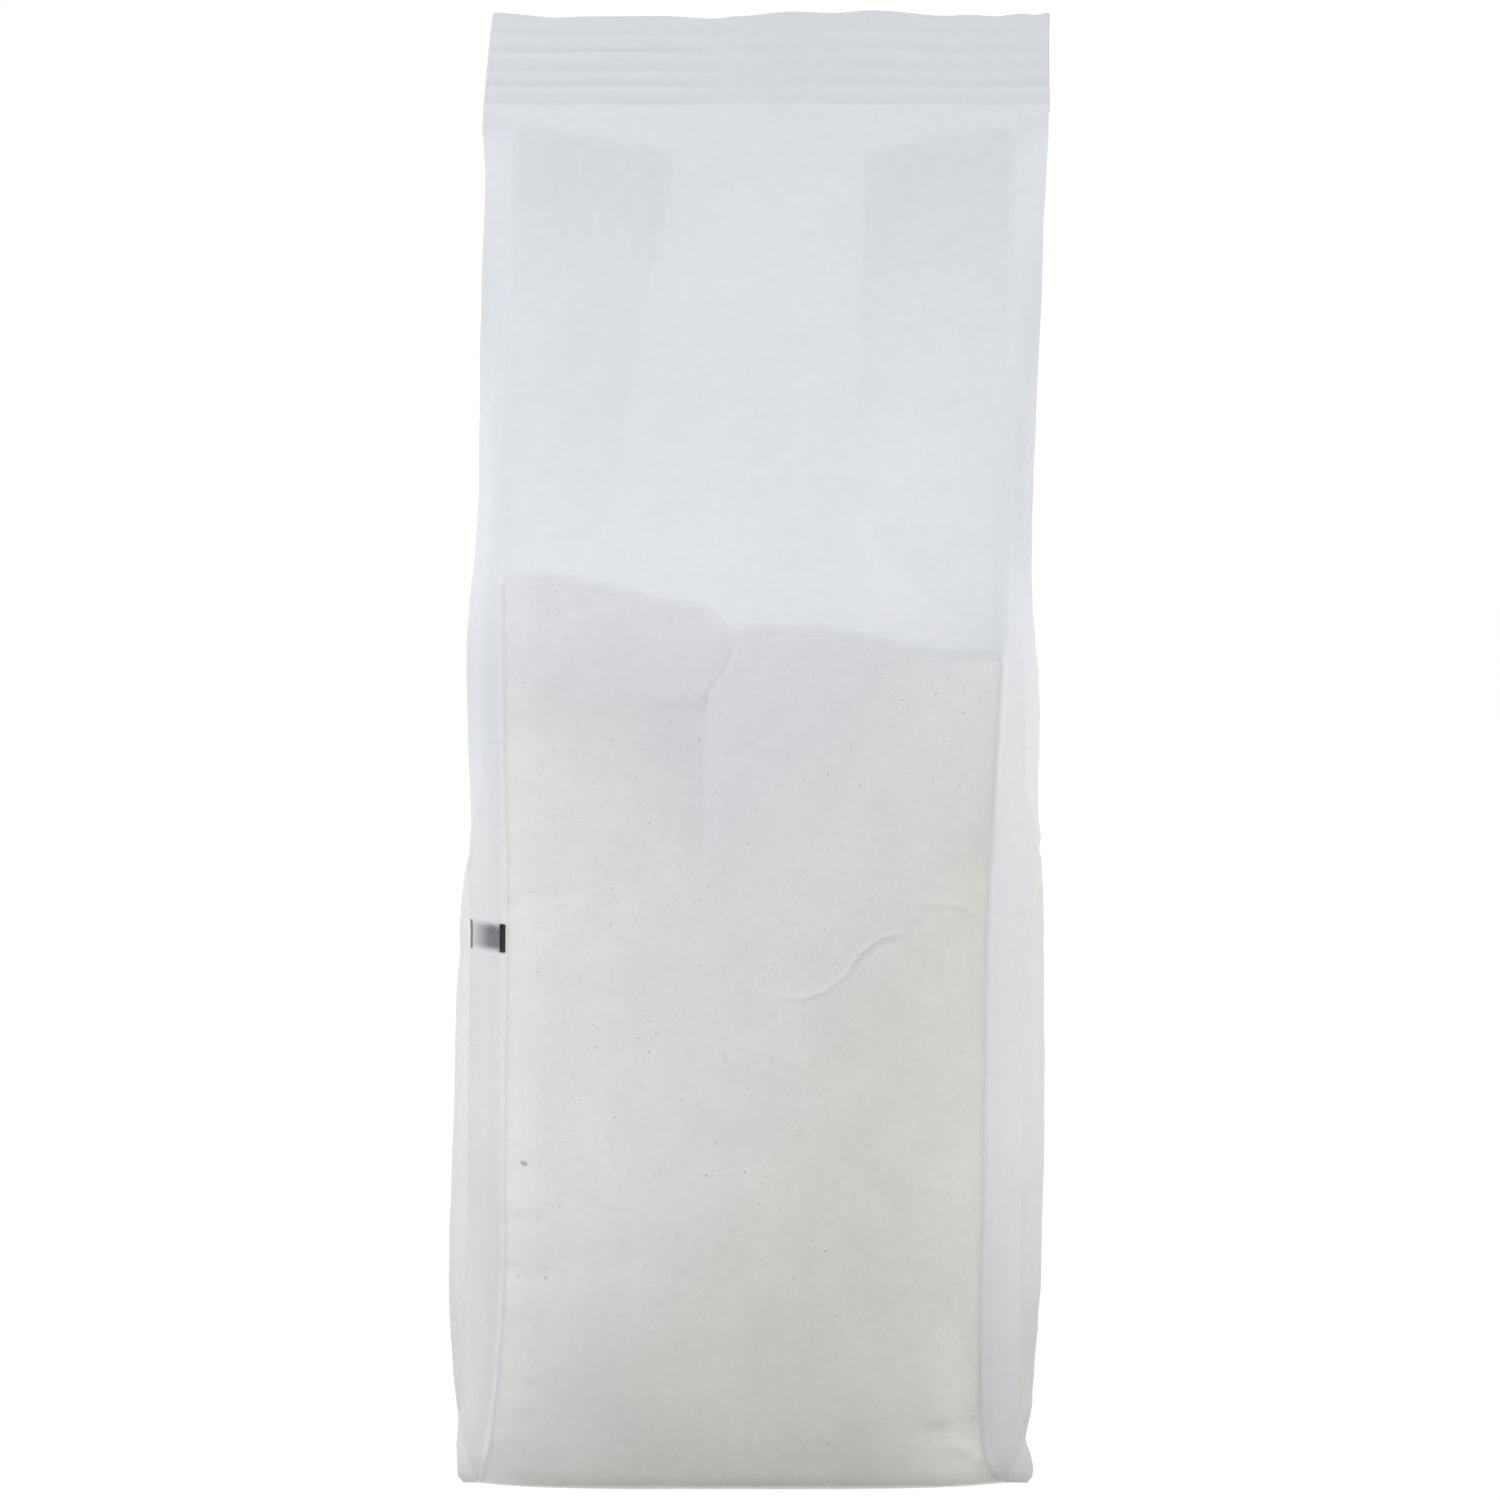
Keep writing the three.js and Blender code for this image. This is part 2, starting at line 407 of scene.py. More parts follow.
flour = {
    "panelColumns": 84,
    "rearColumns": 60,
    "gussetColumns": 32,
    "sideRows": 150,
    "topRows": 26,
    "floor": 0.3,
    "gapTouching": 0.14,
    "gapHazy": 0.25,
    "seamPower": 8,          # the film lies on the flour along the seams, and higher is nearer to them
    "edgeRounding": (0.12, 0.5),     # how far the flour's edge is drawn in, and how fast that ends
    # The height where the flour ends on each panel
    "frontEdge": [(-41, 146.9), (-34, 147.3), (-25, 145.7), (-15, 143.0), (-9, 142.0), (-2.6, 137.9),
                  (2, 138.6), (9.6, 138.3), (16, 137.5), (20.5, 137.0), (25, 135.2), (32, 134.4),
                  (41, 134.5)],
    "rearEdge": [(-41, 131), (-20, 133), (0, 135), (20, 134), (41, 136)],
    "gussetSag": 4.0,        # how much lower it ends in the middle of a gusset
    "edgeRipple": (0.45, 5.0, 0.4),
    "edgeRippleSpread": (40.0, 7.3),  # across a part, and from one part to the next
    # The height up to which the film lies on the flour
    "frontTouch": [(-41, 124), (-24, 120), (-12, 109), (-7.6, 99), (-6.2, 97), (8, 109),
                   (32, 134), (35, 141), (41, 141)],
    "rearTouch": [(-41, 128), (-15, 112), (5, 122), (25, 108), (41, 126)],
    "gussetTouch": 112.0,
    "touchRipple": (2.2, 9.0, 4.4),
    "touchSoftness": (10.0, 12.0),   # over how many mm the film leaves the flour, left and right
    "softnessChanges": (-0.4, 0.1),  # the places across the front panel between which that changes
    "softnessElsewhere": 7.0,
    "rowCrowding": 1.25,     # above 1 the rows are closer together near the flour's edge
    "middleHeight": 131.0,   # of the heap's top surface
    "heapPower": 1.5,
    "lumps": ((2.2, 13.0, 2.2), (0.8, 4.0, 8.1)),
    "lumpsPower": 4,         # the lumps end at the edge, and higher is nearer to it
    "rim": (0.9, 8),         # how high the top rises just inside its edge, and how steeply
    "loosePatch": {"x": -36.5, "z": 11.0, "width": 4.5, "height": 4.0, "share": 0.8},
}


# How far a height is above the flour's edge, measured across the edge.
def aboveEdge(part, t, z):
    step = 0.02
    rise = flourEdge(part, min(1.0, t + step)) - flourEdge(part, max(-1.0, t - step))
    slope = rise / (2 * tableHalf * step)
    return (z - flourEdge(part, t)) / math.hypot(1, slope)


# Where the flour stops on the film, at a place round the bag.
def flourEdge(part, t):
    across, apart = flour["edgeRippleSpread"]
    rough = ripple(flour["edgeRipple"], t * across, part * apart)
    if part == front:
        return along(flour["frontEdge"], tableHalf * t) + rough
    if part == rear:
        return along(flour["rearEdge"], tableHalf * t) + rough
    seams = (along(flour["frontEdge"], tableHalf), along(flour["rearEdge"], -tableHalf))
    if part == leftGusset:
        seams = (along(flour["rearEdge"], tableHalf), along(flour["frontEdge"], -tableHalf))
    return lerp(*seams, (t + 1) / 2) - flour["gussetSag"] * (1 - t * t) + rough


# A soft spot on the front panel, strongest in its middle.
def spotAt(spot, x, z):
    return spot["share"] * bump(x, spot["x"], spot["width"]) * bump(z, spot["z"], spot["height"])


# 1 where the film lies on the flour, 0 where it hangs clear of it.
def touchAt(part, t, z):
    x = tableHalf * t
    softness = flour["softnessElsewhere"]
    top = flour["gussetTouch"]
    if part == front:
        softness = lerp(*flour["touchSoftness"], smoothstep(t, *flour["softnessChanges"]))
        top = along(flour["frontTouch"], x)
    elif part == rear:
        top = along(flour["rearTouch"], x)
    top += ripple(flour["touchRipple"], x, z, part)
    touch = 1 - smoothstep(z, top - softness, top + softness)
    return touch * (1 - spotAt(flour["loosePatch"], x, z)) if part == front else touch


# How far the flour is behind the film.
def flourGap(part, t, z):
    drawnIn, ends = flour["edgeRounding"]
    touch = max(touchAt(part, t, z), t ** flour["seamPower"])
    gap = lerp(flour["gapHazy"], flour["gapTouching"], touch)
    return gap + drawnIn * math.exp(-max(0.0, flourEdge(part, t) - z) / ends)


# Creases of the front panel: points that run over it as (x, z), how far it is raised, and its width

pressedCreases = [
    # The crinkle to the right of the middle, the hollow under it and its far end
    ([(3.9, 79.3), (8.6, 78.4), (12.4, 79.6), (16.1, 82.4), (17.7, 85.4), (21.1, 88.0), (25.8, 89.2)],
     0.19, 0.32),
    ([(15.4, 80.2), (18.6, 84.6), (21.6, 86.8), (25.0, 87.8)], -0.12, 0.5),
    ([(27.1, 93.6), (29.8, 93.6), (35.1, 92.9), (39.1, 90.0)], 0.15, 0.4),
    # The right bottom corner: its ridge, two hollows and a fine pleat
    ([(33.2, 7.6), (36.9, 5.3), (39.6, 3.4)], 0.7, 1.0),
    ([(29.5, 9.3), (34.5, 8.3)], -0.6, 1.2),
    ([(36.9, 12.6), (37.3, 7.4)], -0.6, 1.5),
    ([(39.4, 6.3), (40.3, 3.2), (41.0, 1.4)], 0.28, 0.5),
    # The left bottom corner: the fold at the foot, and a low swell and a dent above it
    ([(-41.0, 5.8), (-38.3, 6.9), (-35.7, 7.7), (-31.5, 8.1)], 0.3, 1.4),
    ([(-37.5, 12.6), (-32.0, 13.2)], 0.2, 2.0),
    ([(-36.5, 15.6), (-31.5, 15.2)], -0.2, 1.6),
    # Wrinkles that run in from the seams
    ([(-40.3, 42.6), (-36.0, 42.2), (-31.5, 42.8)], -0.28, 1.1),
    ([(-40.3, 34.6), (-35.0, 33.4), (-30.5, 34.0)], -0.3, 1.2),
    ([(-40.4, 29.3), (-34.0, 28.4)], 0.25, 1.0),
    ([(-40.2, 92.0), (-36.0, 94.5), (-31.0, 94.8)], -0.22, 1.2),
    ([(36.0, 104.0), (38.9, 97.0)], -0.3, 1.3),
]
flourCrack = ([(-2.7, 135.6), (-4.3, 131.3), (-6.9, 128.0), (-7.5, 125.0)], -0.42, 0.3)
flourLedge = {"x": -7.2, "rises": (92.0, 104.0), "falls": (124.0, 128.0), "depth": 0.9, "reach": 8.0,
              "edge": 0.8}
pressing = {
    "endShare": 0.25,        # of a crease's depth at its two ends
    "rise": 4,               # how fast it gets deeper from there
    "margin": 8.0,           # a crease whose points are farther away than this is left out
    "fineWidth": 0.7,        # creases narrower than this get smaller faces
    "fineReach": 0.7,
    "cuts": 2,
}


# How far a place is from a crease, and the share of its length where the crease is nearest.
def nearestOn(points, x, z):
    nearest, share = 1e9, 0.0
    for i, ((x0, z0), (x1, z1)) in enumerate(zip(points, points[1:])):
        dx, dz = x1 - x0, z1 - z0
        t = min(1.0, max(0.0, ((x - x0) * dx + (z - z0) * dz) / (dx * dx + dz * dz)))
        away = math.hypot(x - x0 - t * dx, z - z0 - t * dz)
        if away < nearest:
            nearest, share = away, (i + t) / (len(points) - 1)
    return nearest, share


def creaseRelief(creases, x, z):
    relief = 0.0
    rise, start = pressing["rise"], pressing["endShare"]
    for points, raised, width in creases:
        reach = 3 * width + pressing["margin"]
        if all(abs(px - x) > reach or abs(pz - z) > reach for px, pz in points):
            continue
        away, share = nearestOn(points, x, z)
        taper = min(1.0, rise * share + start, rise * (1 - share) + start)
        relief += raised * taper * bump(away, 0, width)
    return relief


# The flour's face steps back to the left of a line that runs down from its crack.
def ledgeRelief(x, z):
    fade = band(z, flourLedge["rises"], flourLedge["falls"])
    away = flourLedge["x"] - x
    if away > 0:
        return -flourLedge["depth"] * fade * math.exp(-away / flourLedge["reach"])
    return -flourLedge["depth"] * fade * math.exp(away / flourLedge["edge"])


# A grid whose columns run round the bag and whose rows run up it, closed into a tube. Each vertex
# keeps its part of the ring and its place across that part.
def tubeMesh(columns, rows, place):
    bm = bmesh.new()
    bmesh.ops.create_grid(bm, x_segments=len(columns), y_segments=rows - 1, size=1)
    part = bm.verts.layers.float.new("part")
    across = bm.verts.layers.float.new("across")
    for v in bm.verts:
        column = round((v.co.x + 1) / 2 * len(columns)) % len(columns)
        row = round((v.co.y + 1) / 2 * (rows - 1))
        v[part], v[across] = columns[column]
        v.co = place(column, row)
    bmesh.ops.remove_doubles(bm, verts=bm.verts, dist=0.001)
    return bm, part, across


# Smaller faces along the fine creases, then every crease and any further relief on the front panel.
def pressCreases(bm, part, across, creases, furtherRelief=None):
    fine = [(points, 2 * width + pressing["fineReach"]) for points, raised, width in creases
            if width < pressing["fineWidth"]]
    near = set()
    for f in bm.faces:
        if any(v[part] != front for v in f.verts):
            continue
        z = sum(v.co.z for v in f.verts) / len(f.verts)
        x = sum(v[across] for v in f.verts) / len(f.verts) * halfWidthAt(z)
        if any(nearestOn(points, x, z)[0] < reach for points, reach in fine):
            near.update(f.edges)
    bmesh.ops.subdivide_edges(bm, edges=list(near), cuts=pressing["cuts"], use_grid_fill=True)
    for v in bm.verts:
        if v[part] == front:
            x = v[across] * halfWidthAt(v.co.z)
            further = furtherRelief(x, v.co.z) if furtherRelief else 0
            v.co.y -= creaseRelief(creases, x, v.co.z) + further


# Closes both ends. An edge that turns by more than the sharp angle, in radians, isn't smoothed.
def capAndFinish(bm, name, sharpAngle=0.7):
    rims = [e for e in bm.edges if e.is_boundary]
    made = bmesh.ops.holes_fill(bm, edges=rims, sides=0)
    bmesh.ops.triangulate(bm, faces=made["faces"], quad_method="BEAUTY", ngon_method="BEAUTY")
    bmesh.ops.recalc_face_normals(bm, faces=bm.faces)
    for f in bm.faces:
        f.smooth = True
    for e in bm.edges:
        e.smooth = e.calc_face_angle(0) < sharpAngle
    return finished(bm, name)


def finished(bm, name):
    bmesh.ops.scale(bm, vec=(metres,) * 3, verts=bm.verts)
    return asObject(bm, name)


def asObject(bm, name):
    mesh = bpy.data.meshes.new(name)
    bm.to_mesh(mesh)
    bm.free()
    made = bpy.data.objects.new(name, mesh)
    bpy.context.scene.collection.objects.link(made)
    return made


# How much the frosted film hides, from 0 to 1

frosting = {
    "free": 0.8,             # above the flour
    "rearFree": 0.76,
    "gussetFree": 0.6,
    "hazy": 0.32,            # beside the flour, where the film hangs clear of it
    "touching": 0.22,        # and where the film lies on it
    "gussetTouching": 0.6,
    "fin": 0.68,
    "highFin": 0.88,
    "finChanges": (115.0, 150.0),    # between these heights, from beside the flour to above it
    "edgeFades": (-2.2, 0.0),        # and between these heights above the flour's edge on the panels
    "seamLine": 0.84,        # along the seams above the flour
    "seamWidth": 1.3,
    "lowSeam": 0.7,          # and beside it
    "lowSeamWidth": 1.2,
    "sealBlend": 4.0,
    "mottle": (0.05, 7.0, 7.7),
    "paintedLight": 0.11,            # painted light just under the flour's edge, where the film above shades the flour
    "paintedLightStarts": (-2.6, -1.3),
    "paintedLightEnds": (-1.1, -0.2),
    "seamPaintedLight": (0.04, 0.8),         # and painted light beside the seams, with the mm over which that fades
    "seamPaintedLightStarts": (0.0, -2.0),
}


# The film's cover beside the flour and above it.
def coversAt(part, t, z):
    if part >= rightFins:
        cover = lerp(frosting["fin"], frosting["highFin"], smoothstep(z, *frosting["finChanges"]))
        cover = lerp(cover, frosting["free"], smoothstep(z, *bag["slitCloses"]))
        return cover, cover
    onPanel = part in (front, rear)
    touch = touchAt(part, t, z)
    beside = lerp(frosting["hazy"], frosting["touching" if onPanel else "gussetTouching"], touch)
    beside += ripple(frosting["mottle"], tableHalf * t, z) * touch
    above = frosting[{front: "free", rear: "rearFree"}.get(part, "gussetFree")]
    if not onPanel:
        return beside, above
    inSeal = smoothstep(z, sealBottom - frosting["sealBlend"], sealBottom)
    above = lerp(above, frosting["free"], inSeal)
    fromSeam = halfWidthAt(z) * (1 - abs(t))
    beside = lerp(frosting["lowSeam"], beside, smoothstep(fromSeam, 0, frosting["lowSeamWidth"]))
    seamLine = lerp(frosting["seamLine"], above, inSeal)
    return beside, lerp(seamLine, above, smoothstep(fromSeam, 0, frosting["seamWidth"]))


# How milky the film is, from 0 where it is clearest to 1 in the low fins. The same value paints light: the
# fins and gussets beside the flour are painted lighter as if lit from the sides, the seams beside the flour
# lighter against their shade, and the film darker towards the top seal as painted shade.

milkAndPaintedLight = {
    "beside": 1.0,           # the fins and gussets beside the flour
    "above": 0.36,           # and above it
    # The heights between which that changes
    "changes": {"left": (90.0, 150.0), "right": (120.0, 160.0)},
    "finsFrom": 195.0,       # from here up the fins turn like the panels
    "weld": 0.25,            # the share of the fins' milk and painted light that the seams have above the flour
    "panel": 0.38,
    "glow": [(-41, 0.05), (-22, -0.03), (-2, -0.12), (12, -0.05), (20, 0.12), (32, 0.12), (41, 0.1)],
    "glowAt": (162.0, 30.0),         # the middle and the spread of the glow, up the panel
    "topLoss": (0.32, 192.0, 218.0), # painted shade towards the top seal, between these heights
    "seal": (0.3, 1.0),      # gained where the layers are pressed together, and over how many mm
}


def panelMilkAndPaintedLightAt(x, z):
    loss, low, high = milkAndPaintedLight["topLoss"]
    gain, blend = milkAndPaintedLight["seal"]
    onPanel = milkAndPaintedLight["panel"] + along(milkAndPaintedLight["glow"], tableHalf * x) * bump(z, *milkAndPaintedLight["glowAt"])
    # Painted shade towards the top seal.
    onPanel -= loss * smoothstep(z, low, high)
    return onPanel + gain * smoothstep(z, sealBottom - blend, sealBottom)


def milkAndPaintedLightAt(part, t, z):
    onRight = isRight(part, t)
    changes = milkAndPaintedLight["changes"]["right" if onRight else "left"]
    # The fins and gussets beside the flour are painted lighter, as if lit from the sides.
    white = lerp(milkAndPaintedLight["beside"], milkAndPaintedLight["above"], smoothstep(z, *changes))
    if part >= rightFins:
        onPanel = panelMilkAndPaintedLightAt(1 if onRight else -1, z)
        return lerp(white, onPanel, smoothstep(z, milkAndPaintedLight["finsFrom"], sealBottom))
    if part in (rightGusset, leftGusset):
        return white
    onPanel = panelMilkAndPaintedLightAt(t if part == front else -t, z)
    if z > sealBottom:
        return onPanel
    filled = smoothstep(aboveEdge(part, t, z), *reversed(frosting["edgeFades"]))
    fromSeam = halfWidthAt(z) * (1 - abs(t))
    # Painted light along the seams, full beside the flour.
    weld = lerp(onPanel, white, lerp(milkAndPaintedLight["weld"], 1, filled))
    width = lerp(frosting["seamWidth"], frosting["lowSeamWidth"], filled)
    return lerp(weld, onPanel, smoothstep(fromSeam, 0, width))


# The film's painted light and shade, as a brightness that is 1 at its lightest: painted shade towards the
# floor and at the foot, and painted light beside the seams

filmPaintedShade = {
    # The share of painted shade towards the floor, with the heights where that starts and is complete
    "falls": {"left": (0.025, 66.0, 44.0), "right": (0.09, 60.0, 10.0)},
    "leftInner": 0.4,        # the front panel's part of the loss on the left, and the fins' at their seams
    "leftChanges": (0.2, 0.7),
    # The further painted shade at the foot, as (height, share)
    "foot": [(0, 0.34), (1, 0.27), (2, 0.18), (5, 0.1), (10, 0.09), (22, 0.09), (32, 0.075), (44, 0.05),
             (64, 0)],
}


def filmPaintedLightAt(part, t, z):
    onRight = isRight(part, t)
    share, high, low = filmPaintedShade["falls"]["right" if onRight else "left"]
    if not onRight and part not in (rear, leftGusset):
        share *= lerp(filmPaintedShade["leftInner"], 1, smoothstep(t, *filmPaintedShade["leftChanges"]))
    # Painted shade towards the floor and at the foot.
    tone = 1 - along(filmPaintedShade["foot"], z) - share * smoothstep(z, high, low)
    # Painted light beside the seams, below the flour's edge.
    if part in (front, rear):
        paintedLight, fades = frosting["seamPaintedLight"]
        filled = smoothstep(aboveEdge(part, t, z), *frosting["seamPaintedLightStarts"])
        tone += paintedLight * filled * math.exp(-halfWidthAt(z) * (1 - abs(t)) / fades)
    return tone


# What the film's material reads is kept at each vertex.
def filmLayers(bm):
    names = ("coverBeside", "coverAbove", "aboveEdge", "milkAndPaintedLight", "tone", "paintedLight")
    for name in names:
        bm.verts.layers.float.new(name)
    return [bm.verts.layers.float[name] for name in names]


def filmBag():
    levels = filmLevels()
    rings = [[settled(*filmPoint(part, t, z), z) for part, t in ringColumns] for z in levels]
    bm, part, across = tubeMesh(ringColumns, len(levels), lambda column, row: rings[row][column])
    pressCreases(bm, part, across, pressedCreases)
    layers = filmLayers(bm)
    for v in bm.verts:
        spot = (round(v[part]), v[across], v.co.z)
        above = aboveEdge(*spot) if spot[0] < rightFins else 0.0
        paintedLight = frosting["paintedLight"] if spot[0] in (front, rear) else 0.0
        values = (*coversAt(*spot), above, milkAndPaintedLightAt(*spot), filmPaintedLightAt(*spot), paintedLight)
        for layer, value in zip(layers, values):
            v[layer] = value
    return capAndFinish(bm, "filmBag")


filmPiece = filmBag()
print("film:", len(filmPiece.data.polygons), "faces")


def flourPoint(part, t, z, inset):
    if part in (front, rear):
        return panelPoint(t, z, inset, onFront=part == front)
    x, y = gussetPoint(gussets["right" if part == rightGusset else "left"], t, z, inset)
    y *= 1 - fins["thickness"] / cornerDepthAt(z)      # inside the fins' inner faces
    return (x, y) if part == rightGusset else (-x, -y)


def flourColumns():
    columns = []
    for panel, count, gusset in ((front, flour["panelColumns"], rightGusset),
                                 (rear, flour["rearColumns"], leftGusset)):
        columns += [(panel, u) for u in panelSteps(count)]
        columns += [(gusset, s) for s in evenSteps(flour["gussetColumns"])]
    return columns


# Rows run up the sides and then over the uneven top to its middle.
def placeFlour(spot, edge, row):
    part, t = spot
    if row < flour["sideRows"]:
        share = row / (flour["sideRows"] - 1)
        z = lerp(flour["floor"], edge, 1 - (1 - share) ** flour["rowCrowding"])
        return settled(*flourPoint(part, t, z, flourGap(part, t, z)), z)
    inwards = (row - flour["sideRows"] + 1) / flour["topRows"]
    x, y = flourPoint(part, t, edge, flourGap(part, t, edge))
    reach = 1 - inwards
    x, y = x * reach, y * reach
    lumps = sum(ripple(kind, x, y) for kind in flour["lumps"])
    rimHeight, rimPower = flour["rim"]
    z = lerp(flour["middleHeight"], edge, reach ** flour["heapPower"])
    z += lumps * (1 - reach ** flour["lumpsPower"]) + rimHeight * math.sqrt(1 - reach ** rimPower)
    return settled(x, y, z)


# The flour's painted light and shade, as a brightness that is 1 at its lightest, and where its colour is
# warmer

flourPaintedLightAndWarmth = {
    "middle": 0.93,          # painted light at the sides, where light gets in
    "rightFrom": 0.45,       # from this share of the half width outwards
    "leftFrom": 0.8,
    # Patches of painted shade, each with its share, place and size
    "patches": [{"share": 0.08, "x": -27.0, "z": 17.0, "width": 15.0, "height": 13.0},
                {"share": 0.035, "x": -19.0, "z": 129.0, "width": 11.0, "height": 15.0}],
    "ledge": (0.05, 24.0),   # painted shade on the left of the ledge, and how far that reaches
    # Painted shade near the floor, as (height, share), and more in the corners.
    "foot": [(0, -0.04), (2, 0.04), (5, 0.12), (12, 0.14), (22, 0.11), (34, 0.045), (48, 0)],
    "corners": {"left": (0.2, 12.0, 2.0), "right": (0.32, 4.5, 0.0)},
    "cornerReach": (0.55, 1.0),
    "rightSeam": (0.6, 0.7, 0.95),   # by this share less painted shade there
    "warmLine": (0.67, 57.0, 16.0),  # its colour is warmer and a little darker to the right of a slanting line, the darkening painted shade
    "warmRipple": (4.0, 9.0, 1.9),
}
looseRipples = ((0.16, 3.5, 5.5), (0.1, 1.6, 1.5))   # loose flour is a little rough


# Painted light and shade on the flour, as a brightness.
def flourPaintedLightAt(part, t, x, z):
    glow = 1.0
    if part in (front, rear):
        glow = max(smoothstep(t, flourPaintedLightAndWarmth["rightFrom"], 1), smoothstep(-t, flourPaintedLightAndWarmth["leftFrom"], 1))
    tone = lerp(flourPaintedLightAndWarmth["middle"], 1, glow)
    foot = along(flourPaintedLightAndWarmth["foot"], z)
    depth, high, low = flourPaintedLightAndWarmth["corners"]["left" if x < 0 else "right"]
    corner = depth * smoothstep(z, high, low)
    if part != front:
        return tone - foot - corner
    share, start, end = flourPaintedLightAndWarmth["rightSeam"]
    tone -= foot * (1 - share * smoothstep(t, start, end))
    tone -= corner * smoothstep(abs(t), *flourPaintedLightAndWarmth["cornerReach"])
    for patch in flourPaintedLightAndWarmth["patches"]:
        tone -= spotAt(patch, x, z)
    depth, reach = flourPaintedLightAndWarmth["ledge"]
    fade = band(z, flourLedge["rises"], flourLedge["falls"])
    away = flourLedge["x"] - x
    return tone - depth * fade * (math.exp(-away / reach) if away > 0 else 0.0)


def warmthAndShadeAt(x, z):
    slope, height, blend = flourPaintedLightAndWarmth["warmLine"]
    right = x - slope * (z - height) + ripple(flourPaintedLightAndWarmth["warmRipple"], x, z)
    return smoothstep(right, -blend, blend)


# The ledge, and the roughness where no film presses the flour flat.
def looseRelief(x, z):
    loose = 1 - touchAt(front, x / halfWidthAt(z), z)
    return ledgeRelief(x, z) + loose * sum(ripple(kind, x, z) for kind in looseRipples)


def flourFill():
    columns = flourColumns()
    edges = [flourEdge(part, t) for part, t in columns]
    rows = flour["sideRows"] + flour["topRows"]
    bm, part, across = tubeMesh(columns, rows, lambda c, r: placeFlour(columns[c], edges[c], r))
    pressCreases(bm, part, across, pressedCreases + [flourCrack], looseRelief)
    touch = bm.verts.layers.float.new("touch")
    warmAndShaded = bm.verts.layers.float.new("warmAndShaded")
    # The tone holds the flour's painted light and shade.
    tone = bm.verts.layers.float.new("tone")
    for v in bm.verts:
        spot = round(v[part]), v[across]
        v[touch] = touchAt(*spot, v.co.z)
        v[warmAndShaded] = warmthAndShadeAt(v.co.x, v.co.z)
        v[tone] = flourPaintedLightAt(*spot, v.co.x, v.co.z)
    return capAndFinish(bm, "flourFill")


flourPiece = flourFill()
print("flour:", len(flourPiece.data.polygons), "faces")

bran = {
    "doublings": 12,         # 2 to this power is how many specks there are
    "radius": (0.11, 0.2),
    "radiusPower": 5,        # most specks are small
    "shares": (4, 2.4, 4, 2.4),      # of the specks on each panel and gusset
    "across": 0.97,          # how near to the seams they lie
    "margin": 2.0,           # and how near to the floor and to the flour's edge
    "sunk": 0.03,
    "length": (0.7, 1.4),
    "depth": 0.5,
    "flake": {"x": -35.4, "z": 51.6, "size": (0.85, 0.18, 0.36), "tilt": 0.35, "tone": 0.55},
    "seed": 11,
    "roughness": 0.8,
    "colours": ((0.0, (0.54, 0.51, 0.46)), (0.5, (0.45, 0.41, 0.36)), (1.0, (0.25, 0.21, 0.17))),
    "grain": (5000, 0.15),   # its scale, and how much it changes the tone
}


# One speck doubled again and again, and each copy then put in its own place, size and shade.
def branSpecks():
    draw = random.Random(bran["seed"])
    bm = bmesh.new()
    tone = bm.verts.layers.float.new("tone")
    corners = len(bmesh.ops.create_icosphere(bm, subdivisions=1, radius=1)["verts"])
    for doubling in range(bran["doublings"]):
        bmesh.ops.duplicate(bm, geom=bm.verts[:] + bm.edges[:] + bm.faces[:])
    verts = bm.verts[:]
    for i in range(0, len(verts), corners):
        part = draw.choices((front, rightGusset, rear, leftGusset), bran["shares"])[0]
        t = draw.uniform(-bran["across"], bran["across"])
        z = draw.uniform(bran["margin"], flourEdge(part, t) - bran["margin"])
        place = settled(*flourPoint(part, t, z, flourGap(part, t, z) + bran["sunk"]), z)
        radius = lerp(*bran["radius"], draw.random() ** bran["radiusPower"])
        long = draw.uniform(*bran["length"])
        deep = bran["depth"]
        stretch = (long, deep, 1 / long) if part in (front, rear) else (deep, long, 1 / long)
        shade = draw.random() ** 2
        for v in verts[i:i + corners]:
            v.co = place + radius * v.co * Vector(stretch)
            v[tone] = shade
    flake = bran["flake"]
    made = bmesh.ops.create_icosphere(bm, subdivisions=3, radius=1)["verts"]
    bmesh.ops.scale(bm, vec=flake["size"], verts=made)
    bmesh.ops.rotate(bm, cent=(0, 0, 0), matrix=Matrix.Rotation(flake["tilt"], 3, "Y"), verts=made)
    x, y = flourPoint(front, flake["x"] / halfWidthAt(flake["z"]), flake["z"], flour["gapTouching"])
    bmesh.ops.translate(bm, vec=settled(x, y, flake["z"]), verts=made)
    for v in made:
        v[tone] = flake["tone"]
    return finished(bm, "branSpecks")


speckPiece = branSpecks()
print("bran:", 2 ** bran["doublings"], "specks")

# The print mark on the front left fin: a black strip at the seam, its blurred shade on the fin
# and a thin line at the fin's edge

mark = {
    "bottom": 85.2,
    "height": 5.2,
    "tilt": 0.16,            # its outer end stands a little higher
    "outer": 1.0,            # across the fin, in fin widths from the seam
    "inner": -0.075,
    "columns": 60,
    "rows": 26,
    "proud": 0.16,
    "thickness": 0.03,
    # Where the ink rises and falls, across the fin and up the mark
    "strip": ((-0.075, -0.055), (0.11, 0.14)),
    "line": ((0.915, 0.93), (0.97, 0.99)),
    "lineInk": 0.62,
    "ends": ((0.05, 0.08), (0.93, 0.96)),
    "shadeFrom": 0.1,
    "shadeInk": (0.5, 0.08),         # what fades outwards, and what stays up to its edge
    "shadeFades": (0.3, 1.0),
    "shadeEdge": (0.86, 0.92),
    "shadeEnds": ((0.0, 0.26), (0.74, 1.0)),
    "roughness": 0.45,
    "colours": ((0.55, (0.035, 0.045, 0.085)), (0.95, (0.016, 0.018, 0.022))),
    "grain": (3000, 0.1),    # its scale, and how much it changes the ink
}


